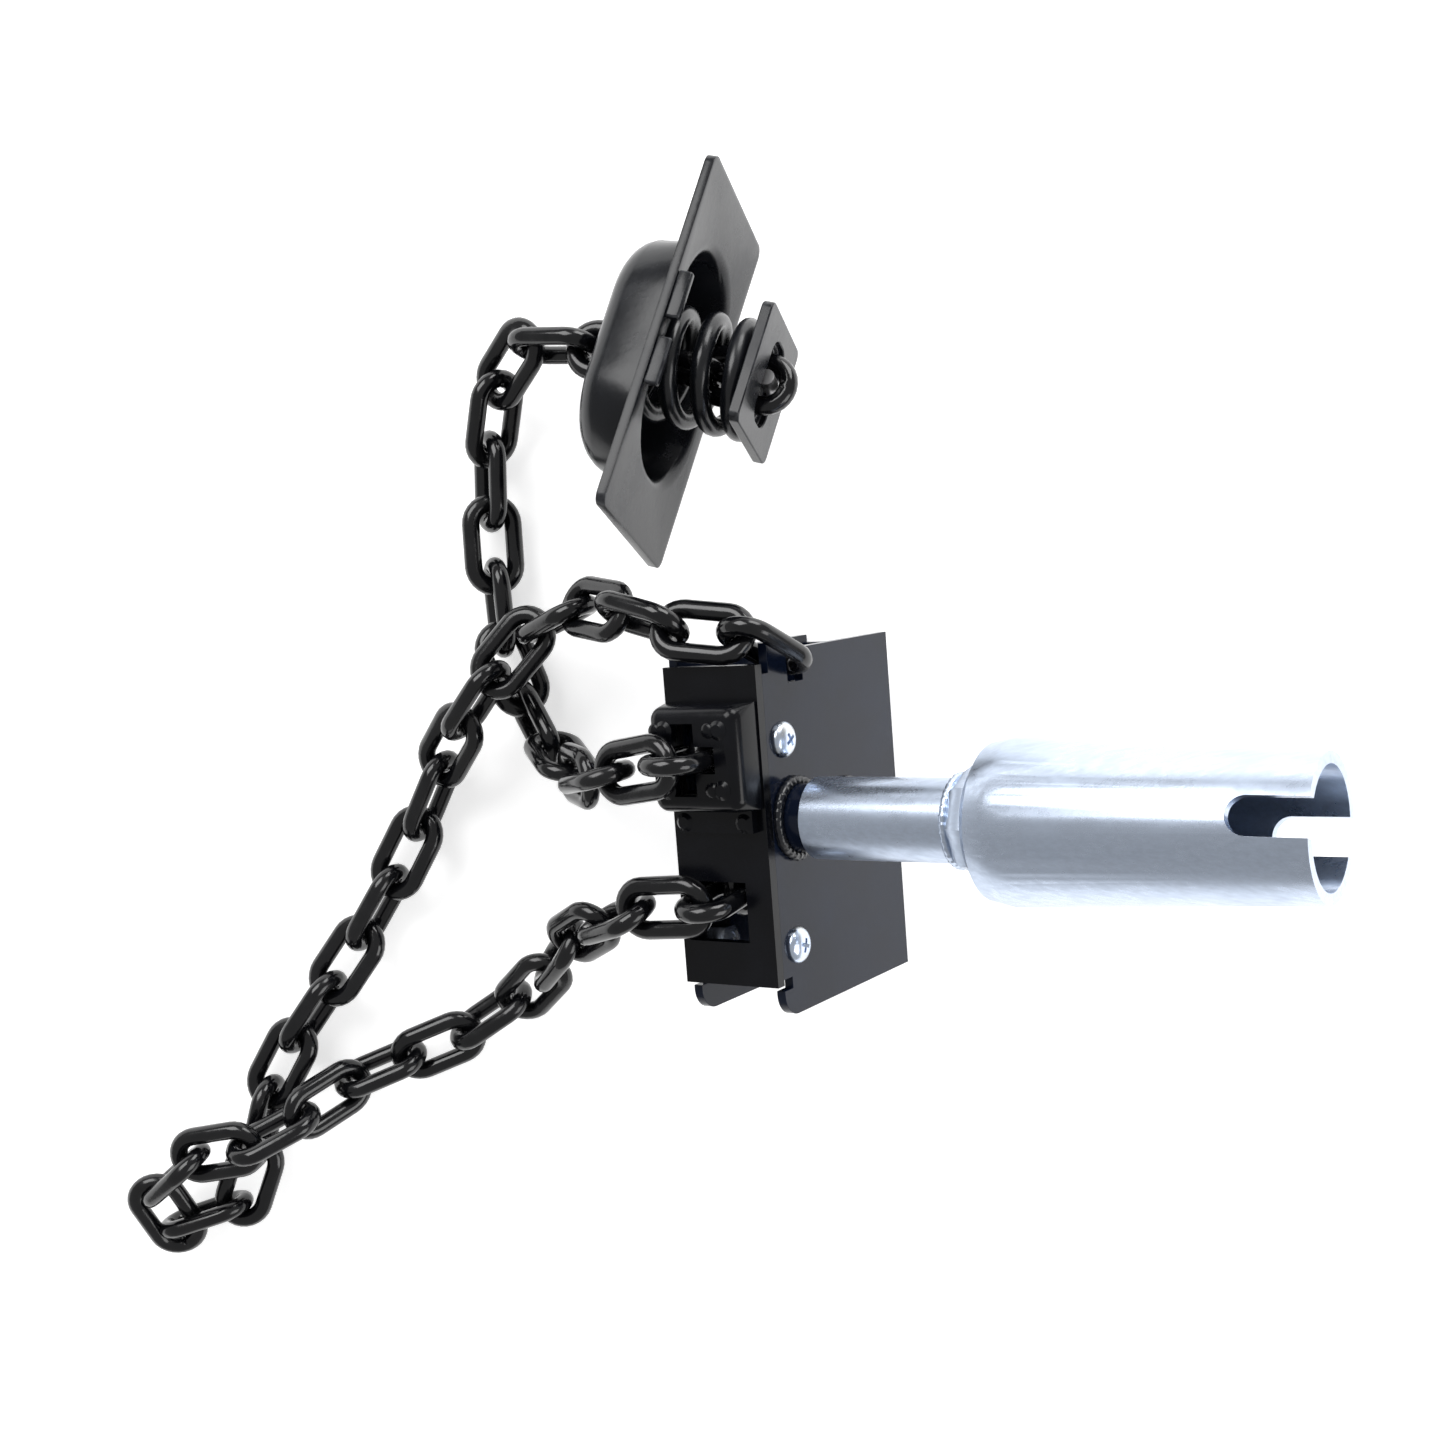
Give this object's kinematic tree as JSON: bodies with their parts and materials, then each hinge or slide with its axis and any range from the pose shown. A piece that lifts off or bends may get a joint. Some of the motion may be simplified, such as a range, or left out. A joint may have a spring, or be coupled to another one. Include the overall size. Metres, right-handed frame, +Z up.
{
  "type": "spare wheel chain hoist",
  "caption": "Geared chain hoist that lifts a spare wheel, with zinc crank socket, short-link chain and sprung wheel retainer",
  "frame": {"origin": "centre of the mounting face on the back of the housing", "axes": "+Z up from the table the hoist lies on, +Y along the housing's height towards the hooked end of the chain, +X to the side the crank socket points, which rises at 32 degrees"},
  "size_m": [0.3237, 0.2912, 0.1476],
  "materials": {
    "black_paint": "satin",
    "black_chain": "gloss",
    "zinc_plate": "bright",
    "bare_steel": "brushed",
    "bush_bronze": "oiled"
  },
  "bodies": {
    "housing": {"right_plate": "black_paint", "left_plate": "black_paint", "back_wall": "black_paint", "mount_nuts": "bare_steel", "front_cover": "black_paint", "chain_guide": "black_paint", "guide_insert": "bare_steel", "guide_rivets": "bare_steel", "lip_rivets": "bare_steel", "cover_nuts": "bare_steel", "housing_screws": "zinc_plate", "shaft_boss": "black_paint", "boss_weld": "black_paint", "right_bush": "bush_bronze", "left_bush": "bush_bronze", "wheel_axle": "bare_steel", "axle_clips": "zinc_plate", "wheel_washers": "bush_bronze", "chain_wrapped": "black_chain", "anchor_link": "black_chain", "chain_slack": "black_chain", "chain_working": "black_chain"},
    "crank_drive": {"pinion_shaft": "bare_steel", "shaft_clip": "zinc_plate", "friction_disc": "bare_steel", "disc_spring": "bare_steel", "tube_plug": "bare_steel", "drive_tube": "zinc_plate", "socket_tube": "zinc_plate", "socket_collar": "zinc_plate"},
    "wheel": {"chain_wheel": "bare_steel", "wheel_gear": "bare_steel"},
    "retainer_end": {"end_plate": "black_paint", "end_pin": "bare_steel", "end_links": "black_chain", "retainer_spring": "black_paint"},
    "retainer_cup": {"retainer_plate": "black_paint"}
  },
  "joints": [
    {"name": "crank_spin", "type": "hinge", "parent": "housing", "child": "crank_drive", "pos_m": [-0.02862, 0, 0.0458], "axis": [0.848, 0, 0.5299], "continuous": true, "deforming": ["chain_wrapped"]},
    {"name": "wheel_spin", "type": "hinge", "parent": "housing", "child": "wheel", "pos_m": [-0.01502, 0, 0.02404], "axis": [0.848, 0, 0.5299], "continuous": true, "deforming": ["chain_wrapped"]},
    {"name": "retainer_swing", "type": "hinge", "parent": "housing", "child": "retainer_end", "pos_m": [-0.06019, 0.12409, 0.0241], "axis": [-0.1784, 0.3449, 0.9215], "range_deg": [-18, 18]},
    {"name": "retainer_press", "type": "slide", "parent": "retainer_end", "child": "retainer_cup", "axis": [0.9184, -0.2778, 0.2817], "range_m": [0, 0.009], "stiffness_N_per_m": 3000, "springref_m": -0.004, "deforming": ["retainer_spring"]}
  ],
  "couplings": [
    {"joint": "wheel_spin", "follows": "crank_spin", "ratio": -0.35714}
  ]
}
